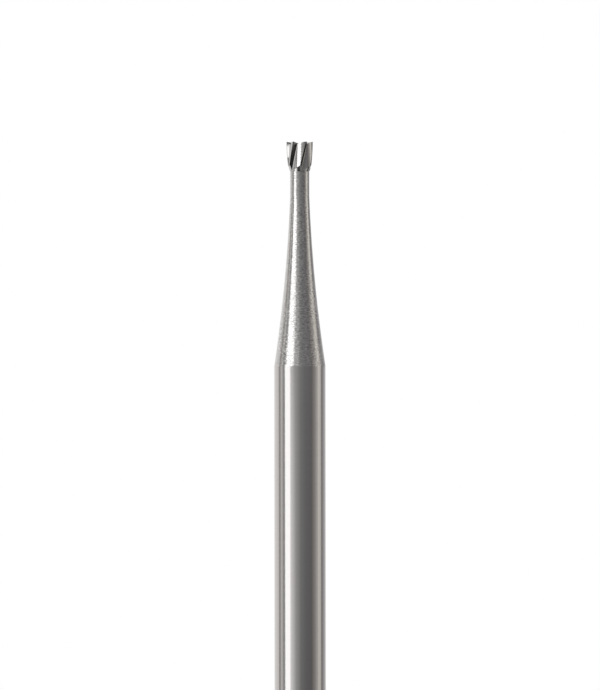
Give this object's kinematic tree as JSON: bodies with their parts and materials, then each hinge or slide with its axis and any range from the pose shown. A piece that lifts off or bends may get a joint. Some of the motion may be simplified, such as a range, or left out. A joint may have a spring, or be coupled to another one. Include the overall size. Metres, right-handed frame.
{
  "type": "dental bur",
  "caption": "Slim steel rotary cutter: plain round shank, concave flare, short neck and a small inverted-cone head with helical blades.",
  "frame": {"origin": "centre of the shank's flat end face", "axes": "+Z along the bur from the shank's end to the cutting tip; the camera of the picture looks along +Y, with +X to the right"},
  "size_m": [0.0024, 0.0024, 0.0445],
  "materials": {
    "steel": "ground and polished"
  },
  "bodies": {
    "root": {"bur": "steel"}
  },
  "joints": []
}
